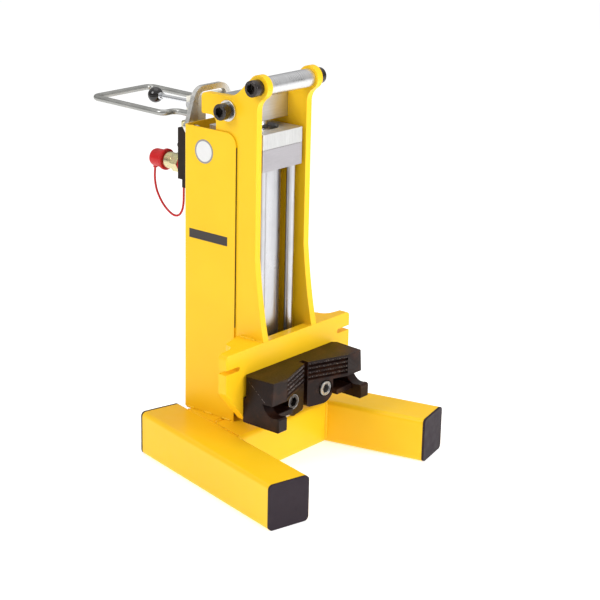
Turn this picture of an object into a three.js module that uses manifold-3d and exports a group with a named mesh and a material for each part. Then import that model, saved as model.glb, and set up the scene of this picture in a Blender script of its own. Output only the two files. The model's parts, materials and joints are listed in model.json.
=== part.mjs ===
// Hydraulic post puller: a splayed tube base, an upright tie-rod cylinder in a sheet cover,
// and a lifting yoke that carries a serrated V jaw with a hook at each end.
// Millimetres, +Z up, the jaw faces -Y. The lengths below are taken from the joint between the
// two cross tubes; the finished group is moved so that its origin is bottom centre.
import * as THREE from 'three';
import { mergeVertices } from 'three/addons/utils/BufferGeometryUtils.js';
import Module from 'manifold-3d';

const wasm = await Module();
wasm.setup();

// ---- driving dimensions ----
const GAP = 0.3;
const TUBE = 90;
const TUBE_WALL = 5;
const TUBE_CORNER = 9;
const LEG_FRONT = [223, -289.7];
const LEG_REAR = [123.2, 132.1];
const CAP_FLANGE = 5;
const CAP_PLUG = 16;

const COVER = { halfWidth: 83, front: -26.5, rear: 105, top: 663, sheet: 3, corner: 24, bend: 6 };
const AXIS_Y = -4;
const BLOCK = { halfX: 57.5, halfY: 68 };
const FOOT = { bottom: TUBE + GAP, thick: 12 };
const BASE_BLOCK_TOP = 150;
const HEAD = { bottom: 592.5, split: 634.7, top: 664, recess: 43.5 };
const BARREL = { outer: 48.7, inner: 40.3 };
const ROD_R = 22.5;
const SPIGOT_R = 12;
const TIE_ROD = { r: 8.5, x: 42, y: 53, bottom: 115, top: 625 };

const PIVOT_Z = 704;
const CROSSHEAD = { halfX: 63.7, halfY: 24.5, bottom: 677, top: 732 };
const SPACER = { y: -77, z: 757, r: 17.5 };
const BIG_HEAD = { r: 15.6, height: 21 };
const PIVOT_WASHER = { r: 20, thick: 4 };
const BOLT_R = 9.8;
const BOLT_BORE = 10.3;
const PLATE_IN = 64;
const PLATE_THICK = 15;
const PLATE_OUT = PLATE_IN + PLATE_THICK;
const FRONT_PLATE = { front: -99, rear: -79, halfX: 184.5, bottom: 125.5, top: 269.5 };

const JAW = { back: -99.3, end: 136, barBottom: 174.5, top: 219, bottom: 125.5, front: -171 };
const VEE = { start: 92, apexY: -140, slot: 5.5, slotY: -126 };
const JAW_SCREW = { x: 49.5, z: 155.5, headFace: -151.3 };

const BRACKET = { front: 108, rear: 118, bolt: [56, 652], top: 728, corner: 30, window: 717, windowHalf: 40 };
const HANDLE = { r: 6, x: 80, inner: 46, jogY: 163, endY: 355, z: 674, endZ: 678 };
const LEVER = { x: -22, y: 127, z: 691, r: 4.5, ballY: 240, ballR: 15.5 };
const VALVE = { x0: -45, x1: 38, y0: 105.3, y1: 158, z0: 540, z1: 642, step: 634.5 };
const SPOOL_Y = 139;
const PORT_Z = 567;
const SUPPLY_X = -25;
const RETURN_Y = 138;
const CORD_R = 2.25;

const YELLOW = 0xf6c21c;
const STEEL = 0xc9cbcd;
const ZINC = 0xb9bcb8;
const BLACK = 0x1b1a1b;
const RED = 0xc4222c;
const ZINC_YELLOW = 0xc9a94e;

// ---- geometry helpers ----
function solid(geometry) {
  const g = geometry.clone();
  g.deleteAttribute('normal');
  g.deleteAttribute('uv');
  const merged = mergeVertices(g, 1e-4);
  return new wasm.Manifold(new wasm.Mesh({
    numProp: 3,
    vertProperties: new Float32Array(merged.attributes.position.array),
    triVerts: new Uint32Array(merged.index.array),
  }));
}

function surface(manifold) {
  const mesh = manifold.getMesh();
  const g = new THREE.BufferGeometry();
  g.setAttribute('position', new THREE.BufferAttribute(new Float32Array(mesh.vertProperties), 3));
  g.setIndex(new THREE.BufferAttribute(new Uint32Array(mesh.triVerts), 1));
  g.computeVertexNormals();
  return g;
}

function cut(base, ...tools) {
  let result = solid(base);
  for (const tool of tools) result = result.subtract(solid(tool));
  return surface(result);
}

function unite(base, ...others) {
  let result = solid(base);
  for (const other of others) result = result.add(solid(other));
  return surface(result);
}

function moved(geometry, x, y, z) {
  return geometry.clone().translate(x, y, z);
}

function mirroredX(geometry) {
  const g = (geometry.index ? geometry.toNonIndexed() : geometry.clone()).scale(-1, 1, 1);
  const p = g.attributes.position;
  for (let i = 0; i < p.count; i += 3) {
    const [x, y, z] = [p.getX(i), p.getY(i), p.getZ(i)];
    p.setXYZ(i, p.getX(i + 1), p.getY(i + 1), p.getZ(i + 1));
    p.setXYZ(i + 1, x, y, z);
  }
  g.computeVertexNormals();
  return g;
}

function outline(points) {
  return new THREE.Shape(points.map(([x, y]) => new THREE.Vector2(x, y)));
}

function roundedRect(width, height, radius) {
  const shape = new THREE.Shape();
  const [a, b, r] = [width / 2, height / 2, radius];
  shape.moveTo(a, -b + r);
  shape.lineTo(a, b - r);
  shape.absarc(a - r, b - r, r, 0, Math.PI / 2);
  shape.absarc(-a + r, b - r, r, Math.PI / 2, Math.PI);
  shape.absarc(-a + r, -b + r, r, Math.PI, 1.5 * Math.PI);
  shape.absarc(a - r, -b + r, r, 1.5 * Math.PI, 2 * Math.PI);
  return shape;
}

function circle(x, y, r) {
  return new THREE.Path().absarc(x, y, r, 0, 2 * Math.PI, true);
}

// the outline's points, anticlockwise, without the near-doubles where an arc meets a line
function sampled(path, segments) {
  const points = path.getPoints(segments);
  const clean = points.filter((p, i) => p.distanceTo(points[(i + 1) % points.length]) > 1e-3);
  return THREE.ShapeUtils.isClockWise(clean) ? clean.reverse() : clean;
}

function prism(shape, depth, segments = 10) {
  const clean = new THREE.Shape(sampled(shape, segments));
  clean.holes = shape.holes.map((hole) => new THREE.Path(sampled(hole, segments)));
  return new THREE.ExtrudeGeometry(clean, { depth, bevelEnabled: false });
}

// a shape drawn in X and Z, running from yBack towards -Y
function plateXZ(shape, yBack, depth, segments) {
  const basis = new THREE.Matrix4().makeBasis(
    new THREE.Vector3(1, 0, 0), new THREE.Vector3(0, 0, 1), new THREE.Vector3(0, -1, 0));
  return prism(shape, depth, segments).applyMatrix4(basis).translate(0, yBack, 0);
}

// a shape drawn in Y and Z, running from x0 towards +X
function plateYZ(shape, x0, depth, segments) {
  const basis = new THREE.Matrix4().makeBasis(
    new THREE.Vector3(0, 1, 0), new THREE.Vector3(0, 0, 1), new THREE.Vector3(1, 0, 0));
  return prism(shape, depth, segments).applyMatrix4(basis).translate(x0, 0, 0);
}

function plateXY(shape, z0, depth, segments) {
  return prism(shape, depth, segments).translate(0, 0, z0);
}

function block(x0, x1, y0, y1, z0, z1) {
  return new THREE.BoxGeometry(x1 - x0, y1 - y0, z1 - z0)
    .translate((x0 + x1) / 2, (y0 + y1) / 2, (z0 + z1) / 2);
}

// a turned part about +Z from [radius, height] pairs that run upwards
function turned(profile, segments = 32) {
  return new THREE.LatheGeometry(profile.map(([r, h]) => new THREE.Vector2(r, h)), segments)
    .rotateX(Math.PI / 2);
}

function rod(r, z0, z1, segments = 32) {
  return turned([[0, z0], [r, z0], [r, z1], [0, z1]], segments);
}

function sleeve(inner, outer, z0, z1, segments = 32) {
  return turned([[inner, z0], [outer, z0], [outer, z1], [inner, z1], [inner, z0]], segments);
}

function hexagon(acrossFlats) {
  const r = acrossFlats / Math.sqrt(3);
  return outline([0, 1, 2, 3, 4, 5].map((i) => [
    r * Math.cos(i * Math.PI / 3), r * Math.sin(i * Math.PI / 3)]));
}

// turns a part made about +Z so that its +Z end points along +X, or along +Y
const alongX = (g) => g.clone().rotateY(Math.PI / 2);
const alongY = (g) => g.clone().rotateX(-Math.PI / 2);

// socket head screw: the head stands on z = 0, the shank hangs below it
function socketScrew(headR, headH, shankR, length, segments = 24) {
  const body = turned([
    [0, -length], [shankR, -length], [shankR, 0], [headR, 0],
    [headR, headH - 1.2], [headR - 1.2, headH], [0, headH]], segments);
  const socket = prism(hexagon(headR * 1.13), headH).translate(0, 0, headH * 0.42);
  return cut(body, socket);
}

function bigScrew(length) {
  return socketScrew(BIG_HEAD.r, BIG_HEAD.height, BOLT_R, length);
}

// a round bar of the given radius swept along a curve
function tubeAlong(path, r, sides, steps) {
  const circleShape = new THREE.Shape().absarc(0, 0, r, 0, 2 * Math.PI);
  const section = new THREE.Shape(sampled(circleShape, sides / 2));
  return new THREE.ExtrudeGeometry(section, { steps, extrudePath: path, bevelEnabled: false });
}

function smoothTube(points, r, sides, steps) {
  const through = points.map((p) => new THREE.Vector3(...p));
  return tubeAlong(new THREE.CatmullRomCurve3(through, false, 'centripetal'), r, sides, steps);
}

// straight runs joined by bends of one size, with sections only where the path turns
class BentPath extends THREE.Curve {
  constructor(corners, bend, perBend = 5) {
    super();
    const p = corners.map((c) => new THREE.Vector3(...c));
    const last = p.length - 1;
    this.stations = [{ point: p[0], tangent: p[1].clone().sub(p[0]).normalize() }];
    for (let i = 1; i < last; i += 1) {
      const before = p[i].clone().add(p[i - 1].clone().sub(p[i]).setLength(bend));
      const after = p[i].clone().add(p[i + 1].clone().sub(p[i]).setLength(bend));
      const arc = new THREE.QuadraticBezierCurve3(before, p[i], after);
      for (let k = 0; k <= perBend; k += 1) {
        this.stations.push({ point: arc.getPoint(k / perBend), tangent: arc.getTangent(k / perBend) });
      }
    }
    this.stations.push({ point: p[last], tangent: p[last].clone().sub(p[last - 1]).normalize() });
    this.steps = this.stations.length - 1;
  }

  getPointAt(u) {
    return this.stations[Math.round(u * this.steps)].point.clone();
  }

  getTangentAt(u) {
    return this.stations[Math.round(u * this.steps)].tangent.clone();
  }
}

function bentTube(corners, bend, r, sides) {
  const path = new BentPath(corners, bend);
  return tubeAlong(path, r, sides, path.steps);
}

function add(parent, name, geometry, color, roughness = 0.45, metalness = 0.0) {
  const mesh = new THREE.Mesh(geometry, new THREE.MeshStandardMaterial({ color, roughness, metalness }));
  mesh.name = name;
  parent.add(mesh);
  return mesh;
}

// the same piece on the right, and mirrored on the left
function addPair(parent, name, geometry, ...look) {
  add(parent, `${name}_right`, geometry, ...look);
  add(parent, `${name}_left`, mirroredX(geometry), ...look);
}

// ---- base frame ----
const legSpan = [LEG_FRONT[0] - LEG_REAR[0], LEG_REAR[1] - LEG_FRONT[1]];
const LEG_LENGTH = Math.hypot(...legSpan);
const SPLAY = Math.atan2(...legSpan);
const LEG_MID = [(LEG_FRONT[0] + LEG_REAR[0]) / 2, (LEG_FRONT[1] + LEG_REAR[1]) / 2];

function tubeSection() {
  const section = roundedRect(TUBE, TUBE, TUBE_CORNER);
  const inside = TUBE - 2 * TUBE_WALL;
  section.holes.push(roundedRect(inside, inside, TUBE_CORNER - TUBE_WALL));
  return section;
}

function endCap() {
  const inside = TUBE - 2 * TUBE_WALL - 2 * GAP;
  const flange = prism(roundedRect(TUBE, TUBE, TUBE_CORNER), CAP_FLANGE - GAP, 4);
  const plug = prism(roundedRect(inside, inside, TUBE_CORNER - TUBE_WALL), CAP_PLUG + 1, 2);
  const hollow = prism(roundedRect(inside - 8, inside - 8, 3), CAP_PLUG + 1, 1);
  const cup = cut(plug, hollow.translate(0, 0, 1.5 - CAP_PLUG));
  return unite(flange, cup.translate(0, 0, 0.5 - CAP_PLUG));
}

function leg(side, name) {
  const frame = new THREE.Group();
  frame.position.set(side * LEG_MID[0], LEG_MID[1], TUBE / 2);
  frame.rotation.z = side * SPLAY;
  const tubeLength = LEG_LENGTH - 2 * CAP_FLANGE;
  const tube = prism(tubeSection(), tubeLength, 4).translate(0, 0, -tubeLength / 2);
  add(frame, `leg_tube_${name}`, tube, YELLOW).rotation.x = -Math.PI / 2;
  for (const [end, sign] of [['rear', 1], ['front', -1]]) {
    const cap = add(frame, `end_cap_${end}_${name}`, endCap(), BLACK, 0.6);
    cap.rotation.x = -sign * Math.PI / 2;
    cap.position.y = sign * (tubeLength / 2 + GAP);
  }
  return frame;
}

function crossTube(yCentre, halfLength) {
  const tube = alongX(prism(tubeSection(), 2 * halfLength, 4).translate(0, 0, -halfLength))
    .translate(0, yCentre, TUBE / 2);
  const notches = [-1, 1].map((side) => new THREE.BoxGeometry(TUBE + 2 * GAP, LEG_LENGTH + 40, TUBE + 10)
    .rotateZ(side * SPLAY).translate(side * LEG_MID[0], LEG_MID[1], TUBE / 2));
  return cut(tube, ...notches);
}

function columnCover() {
  const { halfWidth, front, rear, top, sheet, corner, bend } = COVER;
  const plan = new THREE.Shape();
  const inner = halfWidth - sheet;
  plan.moveTo(-halfWidth, front);
  plan.lineTo(-inner, front);
  plan.lineTo(-inner, rear - bend);
  plan.absarc(-inner + bend - sheet, rear - bend, bend - sheet, Math.PI, Math.PI / 2, true);
  plan.absarc(inner - bend + sheet, rear - bend, bend - sheet, Math.PI / 2, 0, true);
  plan.lineTo(inner, front);
  plan.lineTo(halfWidth, front);
  plan.lineTo(halfWidth, rear - bend);
  plan.absarc(halfWidth - bend, rear - bend, bend, 0, Math.PI / 2);
  plan.absarc(-halfWidth + bend, rear - bend, bend, Math.PI / 2, Math.PI);
  const bottom = TUBE + GAP;
  const walls = plateXY(plan, bottom, top - bottom, 5);
  const trim = new THREE.Shape();
  trim.moveTo(front - 5, top - corner);
  trim.lineTo(front, top - corner);
  trim.absarc(front + corner, top - corner, corner, Math.PI, Math.PI / 2, true);
  trim.lineTo(front + corner, top + 5);
  trim.lineTo(front - 5, top + 5);
  const holes = [-1, 1].map((side) => alongY(rod(6.3, -10, 20, 20))
    .translate(side * BRACKET.bolt[0], rear - sheet, BRACKET.bolt[1]));
  const pipeHoles = PIPE_PORTS.map(([x, z]) => alongY(rod(9, -10, 20, 20)).translate(x, rear - sheet, z));
  return cut(walls, plateYZ(trim, -halfWidth - 5, 2 * halfWidth + 10, 8), ...holes, ...pipeHoles);
}

// ---- cylinder ----
const PIPE_PORTS = [[15, 612], [-15, 566]];
const tieRodSpots = [[-1, -1], [1, -1], [1, 1], [-1, 1]].map(
  ([a, b]) => [a * TIE_ROD.x, AXIS_Y + b * TIE_ROD.y]);

function cylinderBlock(z0, z1, bore, holes, segments) {
  const shape = roundedRect(2 * BLOCK.halfX, 2 * BLOCK.halfY, 3);
  if (bore) shape.holes.push(circle(0, 0, bore));
  for (const [x, y] of holes) shape.holes.push(circle(x, y - AXIS_Y, TIE_ROD.r + 2 * GAP));
  return plateXY(shape, z0, z1 - z0, segments).translate(0, AXIS_Y, 0);
}

function buildCylinder(base) {
  const footTop = FOOT.bottom + FOOT.thick;
  const foot = outline([[-57, -88], [57, -88], [57, 86], [-57, 86]]);
  const seat = cylinderBlock(footTop - 1, BASE_BLOCK_TOP, 0, tieRodSpots, 6);
  const weldment = unite(plateXY(foot, FOOT.bottom, FOOT.thick, 8), seat);
  add(base, 'cylinder_base', weldment, STEEL, 0.35, 0.9);
  const barrel = sleeve(BARREL.inner, BARREL.outer, BASE_BLOCK_TOP + GAP, HEAD.bottom - GAP, 40);
  add(base, 'cylinder_barrel', moved(barrel, 0, AXIS_Y, 0), STEEL, 0.25, 0.95);
  for (const [i, [x, y]] of tieRodSpots.entries()) {
    const name = ['front_left', 'front_right', 'rear_right', 'rear_left'][i];
    const tieRod = rod(TIE_ROD.r, TIE_ROD.bottom, TIE_ROD.top, 20);
    add(base, `tie_rod_${name}`, tieRod, STEEL, 0.2, 0.95).position.set(x, y, 0);
  }
  const head = cylinderBlock(HEAD.bottom, HEAD.split, ROD_R + 1, tieRodSpots, 8);
  add(base, 'cylinder_head', head, STEEL, 0.35, 0.9);
  const flange = cylinderBlock(HEAD.split + GAP, HEAD.top, HEAD.recess, [], 16);
  add(base, 'gland_flange', flange, STEEL, 0.35, 0.9);
  const nut = turned([
    [ROD_R + 0.4, HEAD.split + GAP], [HEAD.recess - GAP, HEAD.split + GAP],
    [HEAD.recess - GAP, HEAD.top - 6], [ROD_R + 5, HEAD.top - 6], [ROD_R + 3, HEAD.top - 3],
    [ROD_R + 0.4, HEAD.top - 3], [ROD_R + 0.4, HEAD.split + GAP]], 32);
  add(base, 'gland_nut', moved(nut, 0, AXIS_Y, 0), BLACK, 0.5, 0.5);
}

// ---- lifting piston and crosshead ----
function buildLift(lift) {
  const pistonTop = BASE_BLOCK_TOP + 42;
  const piston = turned([
    [0, BASE_BLOCK_TOP + 2], [BARREL.inner - GAP, BASE_BLOCK_TOP + 2],
    [BARREL.inner - GAP, pistonTop], [0, pistonTop]], 32);
  add(lift, 'piston', moved(piston, 0, AXIS_Y, 0), STEEL, 0.3, 0.9);
  const { halfX, halfY, bottom, top } = CROSSHEAD;
  const shoulder = bottom - GAP;
  const pistonRod = turned([
    [0, pistonTop + GAP], [ROD_R, pistonTop + GAP], [ROD_R, shoulder],
    [SPIGOT_R, shoulder], [SPIGOT_R, top - 1], [0, top - 1]], 32);
  add(lift, 'piston_rod', moved(pistonRod, 0, AXIS_Y, 0), STEEL, 0.12, 1.0);
  const boreLength = halfX - SPIGOT_R - 8;
  const bore = alongX(rod(BOLT_BORE, 0, boreLength + 5, 24))
    .translate(halfX - boreLength, AXIS_Y, PIVOT_Z);
  const hole = rod(SPIGOT_R + GAP, bottom - 5, top + 5).translate(0, AXIS_Y, 0);
  const bar = block(-halfX, halfX, AXIS_Y - halfY, AXIS_Y + halfY, bottom, top);
  add(lift, 'crosshead', cut(bar, bore, mirroredX(bore), hole), STEEL, 0.35, 0.9);
  const washerFace = PLATE_OUT + GAP;
  const { r: washerR, thick } = PIVOT_WASHER;
  const washer = alongX(sleeve(10.4, washerR, washerFace, washerFace + thick)).translate(0, AXIS_Y, PIVOT_Z);
  addPair(lift, 'pivot_washer', washer, ZINC, 0.4, 0.8);
  const bolt = alongX(bigScrew(57)).translate(washerFace + thick + GAP, AXIS_Y, PIVOT_Z);
  addPair(lift, 'pivot_bolt', bolt, BLACK, 0.35, 0.5);
}

// ---- yoke ----
function sidePlateShape() {
  const { y: bossY, z: bossZ } = SPACER;
  const boss = 23;
  const edge = -74.5;
  const hollow = 30;
  const hollowZ = bossZ - Math.sqrt((hollow + boss) ** 2 - (edge - hollow - bossY) ** 2);
  const meet = Math.atan2(hollowZ - bossZ, edge - hollow - bossY);
  const shape = new THREE.Shape();
  shape.moveTo(FRONT_PLATE.rear + GAP, 128);
  shape.lineTo(0, 128);
  shape.lineTo(27, 300);
  shape.lineTo(27, 676);
  shape.absarc(41, 676, 14, Math.PI, Math.PI / 2, true);
  shape.lineTo(60, 690);
  shape.absarc(60, 694, 4, -Math.PI / 2, 0);
  shape.absarc(54, 720.5, 10, 0, Math.PI / 2);
  shape.lineTo(2, 730.5);
  shape.quadraticCurveTo(-18, 730.5, -34, 746.5);
  shape.absarc(bossY, bossZ, boss, Math.PI / 4, Math.PI + (Math.PI + meet));
  shape.absarc(edge - hollow, hollowZ, hollow, Math.PI + meet, 0, true);
  shape.lineTo(edge, 430);
  shape.quadraticCurveTo(-84, 330, FRONT_PLATE.front, FRONT_PLATE.top + GAP);
  shape.lineTo(FRONT_PLATE.rear + GAP, FRONT_PLATE.top + GAP);
  shape.holes.push(circle(AXIS_Y, PIVOT_Z, BOLT_BORE), circle(bossY, bossZ, BOLT_BORE));
  return shape;
}

function frontPlate() {
  const { halfX, bottom, top, rear, front } = FRONT_PLATE;
  const [slotTip, slotZ, slotR] = [146, 236, 4.5];
  const shape = new THREE.Shape();
  shape.moveTo(-127, bottom);
  shape.lineTo(127, bottom);
  shape.lineTo(halfX, 193);
  shape.lineTo(halfX, slotZ - slotR);
  shape.lineTo(slotTip + slotR, slotZ - slotR);
  shape.absarc(slotTip + slotR, slotZ, slotR, -Math.PI / 2, Math.PI / 2, true);
  shape.lineTo(halfX, slotZ + slotR);
  shape.absarc(halfX - 9, top - 9, 9, 0, Math.PI / 2);
  shape.absarc(-halfX + 9, top - 9, 9, Math.PI / 2, Math.PI);
  shape.lineTo(-halfX, slotZ + slotR);
  shape.lineTo(-slotTip - slotR, slotZ + slotR);
  shape.absarc(-slotTip - slotR, slotZ, slotR, Math.PI / 2, -Math.PI / 2, true);
  shape.lineTo(-halfX, slotZ - slotR);
  shape.lineTo(-halfX, 193);
  for (const side of [-1, 1]) shape.holes.push(circle(side * JAW_SCREW.x, JAW_SCREW.z, BOLT_BORE));
  return plateXZ(shape, rear, rear - front, 8);
}

function wingGusset() {
  const inner = PLATE_OUT + GAP;
  const back = FRONT_PLATE.rear + GAP;
  const shape = new THREE.Shape();
  shape.moveTo(inner, back);
  shape.lineTo(170, back);
  shape.quadraticCurveTo(139, back + 1, 136, -60);
  shape.quadraticCurveTo(135, -49, 126, -48);
  shape.lineTo(inner, -34);
  return plateXY(shape, FRONT_PLATE.top - 12, 12, 8);
}

function jawBlock() {
  const { back, end, barBottom, top, bottom, front } = JAW;
  const { start, apexY, slot, slotY } = VEE;
  const half = [
    [slot, slotY], [slot, apexY], [start, front], [end - 1, front], [end, front + 1],
    [end, back - 8], [end - 8, back]];
  const plan = outline([...half, ...half.slice().reverse().map(([x, y]) => [-x, y])]);
  const bar = plateXY(plan, barBottom, top - barBottom);

  const lobePlan = outline([[slot, back], [slot, apexY], [68, -154], [68, back]]);
  const lobeFace = new THREE.Shape();
  lobeFace.moveTo(slot, barBottom + 1);
  lobeFace.lineTo(slot, bottom + 8);
  lobeFace.absarc(slot + 8, bottom + 7, 8, Math.PI, 1.5 * Math.PI);
  lobeFace.absarc(68 - 26, bottom - 1 + 26, 26, 1.5 * Math.PI, 2 * Math.PI);
  lobeFace.lineTo(68, barBottom + 1);
  const lobe = surface(solid(plateXY(lobePlan, bottom - 5, barBottom - bottom + 6))
    .intersect(solid(plateXZ(lobeFace, back + 5, 90, 8))));

  const tip = -189;
  const hook = new THREE.Shape();
  hook.moveTo(back, barBottom + 1);
  hook.lineTo(back, bottom + 2);
  hook.lineTo(back - 2, bottom);
  hook.lineTo(tip + 2, bottom);
  hook.lineTo(tip, bottom + 2);
  hook.lineTo(tip, 151);
  hook.lineTo(tip + 3, 153.5);
  hook.lineTo(tip + 7, 153.5);
  hook.quadraticCurveTo(-160, 146, -147, barBottom);
  hook.lineTo(-147, barBottom + 1);
  const hookPlate = plateYZ(hook, end - 23, 23, 8);

  const slopeFrom = new THREE.Vector3(end, -112.7, 211);
  const along = new THREE.Vector3(0, -185.3 + 112.7, 152.1 - 211).normalize();
  const outward = new THREE.Vector3(1, 0, 0);
  const away = new THREE.Vector3().crossVectors(along, outward);
  const wedge = prism(outline([[0, 0], [15, 0], [15, 90], [-9, 90]]), 260)
    .translate(0, 0, -130)
    .applyMatrix4(new THREE.Matrix4().makeBasis(outward, away, along).setPosition(slopeFrom));

  const faceAngle = Math.atan2(apexY - front, start - slot);
  const groove = outline([[-4, 0], [0, -2.6], [0.6, -2.6], [0.6, 2.6], [0, 2.6]]);
  const grooveLength = Math.hypot(start - slot, apexY - front) - 1;
  const grooveBasis = new THREE.Matrix4().makeBasis(
    new THREE.Vector3(0, -1, 0), new THREE.Vector3(0, 0, 1), new THREE.Vector3(-1, 0, 0));
  const grooves = [0, 1, 2, 3].map((i) => prism(groove, grooveLength)
    .applyMatrix4(grooveBasis).rotateZ(-faceAngle)
    .translate(start, front, barBottom + 8.5 + i * 9));

  const right = solid(lobe).add(solid(hookPlate)).subtract(solid(wedge));
  const left = solid(mirroredX(surface(right)));
  let jaw = solid(bar).subtract(solid(wedge)).subtract(solid(mirroredX(wedge))).add(right).add(left);
  const screwSeat = alongY(turned([[0, -40], [16.5, -40], [16.5, 0], [10.4, 0], [10.4, 60], [0, 60]]))
    .translate(JAW_SCREW.x, JAW_SCREW.headFace + 20, JAW_SCREW.z);
  for (const tool of [...grooves, screwSeat]) {
    jaw = jaw.subtract(solid(tool)).subtract(solid(mirroredX(tool)));
  }
  return surface(jaw);
}

function buildYoke(yoke) {
  addPair(yoke, 'side_plate', plateYZ(sidePlateShape(), PLATE_IN, PLATE_THICK, 8), YELLOW);
  const bar = alongX(sleeve(BOLT_BORE, SPACER.r, -PLATE_IN + GAP, PLATE_IN - GAP, 32));
  add(yoke, 'spacer_tube', moved(bar, 0, SPACER.y, SPACER.z), STEEL, 0.3, 0.9);
  const bolt = alongX(bigScrew(40)).translate(PLATE_OUT + GAP, SPACER.y, SPACER.z);
  addPair(yoke, 'spacer_bolt', bolt, BLACK, 0.35, 0.5);
  add(yoke, 'front_plate', frontPlate(), YELLOW);
  addPair(yoke, 'wing_gusset', wingGusset(), YELLOW);
  add(yoke, 'jaw_block', jawBlock(), 0x221d1a, 0.5, 0.5);
  const screw = alongY(socketScrew(15, 20, BOLT_R, 51.5).rotateX(Math.PI))
    .translate(JAW_SCREW.x, JAW_SCREW.headFace + 20 - GAP, JAW_SCREW.z);
  addPair(yoke, 'jaw_screw', screw, 0x777777, 0.35, 0.8);
  const rodFace = AXIS_Y - TIE_ROD.y - TIE_ROD.r - 2 * GAP;
  const shoe = block(-55, 55, FRONT_PLATE.rear + GAP, rodFace, BASE_BLOCK_TOP + 5, 250);
  add(yoke, 'guide_shoe', shoe, BLACK, 0.6);
}

// ---- handle, bracket and control valve ----
function handleBracket() {
  const { front, rear, bolt: [boltX, boltZ], top, corner, window, windowHalf } = BRACKET;
  const lobe = 17;
  const shape = new THREE.Shape();
  shape.moveTo(windowHalf, boltZ);
  shape.lineTo(windowHalf, window - 16);
  shape.absarc(windowHalf - 16, window - 16, 16, 0, Math.PI / 2);
  shape.absarc(-windowHalf + 16, window - 16, 16, Math.PI / 2, Math.PI);
  shape.lineTo(-windowHalf, boltZ);
  shape.absarc(-boltX + 3, boltZ, lobe, 0, -Math.PI - 0.3, true);
  shape.absarc(-53 + corner, top - corner, corner, Math.PI - 0.3, Math.PI / 2, true);
  shape.absarc(53 - corner, top - corner, corner, Math.PI / 2, 0.3, true);
  shape.absarc(boltX - 3, boltZ, lobe, 0.3, -Math.PI, true);
  for (const side of [-1, 1]) shape.holes.push(circle(side * boltX, boltZ, 6.3));
  const plate = plateXZ(shape, rear, rear - front, 7);
  const boss = alongY(sleeve(6.3, 11, COVER.rear + GAP - front, 0.5, 16)).translate(0, front, 0);
  return unite(plate, moved(boss, boltX, 0, boltZ), moved(boss, -boltX, 0, boltZ));
}

function buildHandle(base) {
  add(base, 'handle_bracket', handleBracket(), ZINC, 0.4, 0.8);
  const { r, x, inner, jogY, endY, z, endZ } = HANDLE;
  const corners = [
    [-inner, BRACKET.rear + GAP, z], [-inner, jogY, z], [-x, jogY, z], [-x, endY, endZ],
    [x, endY, endZ], [x, jogY, z], [inner, jogY, z], [inner, BRACKET.rear + GAP, z]];
  add(base, 'loop_handle', bentTube(corners, 16, r, 14), ZINC, 0.3, 0.9);
  const [boltX, boltZ] = BRACKET.bolt;
  const bolt = alongY(socketScrew(10, 7, 6, 26, 20)).translate(boltX, BRACKET.rear + GAP, boltZ);
  addPair(base, 'bracket_bolt', bolt, ZINC, 0.4, 0.8);
}

function buildLever(base, lever, spool) {
  const { x, y, z, r, ballY, ballR } = LEVER;
  const rear = 134;
  const housing = block(-46, 46, BRACKET.rear + GAP, rear, 680.5, 707.5);
  const neck = block(-36, -8, BRACKET.rear + GAP, rear, VALVE.z1 + GAP, 682);
  const body = unite(housing, neck);
  const slot = block(x - 8, x + 8, BRACKET.rear + 1.5, rear + 5, 676, 715);
  const pinHole = alongX(rod(4.3, -50, 8, 20)).translate(0, y, z);
  add(base, 'lever_block', cut(body, slot, pinHole), 0xcfcab5, 0.5, 0.3);
  const pin = alongX(turned([[0, -49], [6.5, -49], [6.5, -46.3], [4, -46.3], [4, 7], [0, 7]], 20));
  add(base, 'lever_pin', moved(pin, 0, y, z), STEEL, 0.3, 0.9);

  const hub = alongX(rod(7, -7.6, 7.6, 28)).translate(x, y, z);
  const arm = alongY(rod(r, 4, ballY - 6 - y, 20)).translate(x, y, z);
  const bore = alongX(rod(4.3, -10, 10, 20)).translate(x, y, z);
  add(lever, 'control_lever', cut(unite(hub, arm), bore), STEEL, 0.2, 0.95);
  const ball = new THREE.SphereGeometry(ballR, 24, 15).rotateX(Math.PI / 2).translate(x, ballY, z);
  const socket = alongY(rod(r + GAP, -20, -6 + GAP, 20)).translate(x, ballY, z);
  add(lever, 'control_knob', cut(ball, socket), BLACK, 0.2);

  const stem = turned([
    [0, VALVE.z0 + 14], [8, VALVE.z0 + 14], [8, VALVE.z1 - 18], [4, VALVE.z1 - 18],
    [4, z - r - 3], [2, z - r - 1.3], [0, z - r - 1.3]], 24);
  add(spool, 'valve_spool', moved(stem, x, SPOOL_Y, 0), STEEL, 0.15, 1.0);
}

function hydraulicCoupling() {
  const hex = prism(hexagon(35), 18).translate(0, 0, 5.6);
  const core = turned([
    [0, GAP], [11, GAP], [11, 21], [16.2, 24], [16.6, 25.5], [16.6, 43], [15.6, 44.5], [12.7, 44.5],
    [12.7, 56.5], [11.6, 58], [11.6, 60.5], [12.7, 62], [12.7, 67], [11.2, 68.5], [0, 68.5]], 28);
  return unite(core, hex);
}

function dustCap() {
  return turned([
    [13.1, 46], [20, 46], [21.5, 47.5], [21.5, 52], [20, 53.5], [18.3, 54], [17.8, 78], [16, 82],
    [12, 84], [0, 84], [0, 79], [13.1, 77], [13.1, 46]], 28);
}

const TAIL = { out: 80.5, half: 3, foot: PORT_Z - 21.5 };

// the lanyard hangs from the tail under the cap's closed end and comes up under the ring;
// each point is [distance out of the port, height]
const LANYARD_ROUTE = [
  [81, 545.2], [82, 534], [81.4, 518], [76, 498], [62, 477], [46, 463.5], [30, 456.5], [16.5, 459],
  [7.6, 470], [3.6, 486], [2.9, 505], [2.7, 525], [2.6, 540], [2.6, 548.7]];

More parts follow.
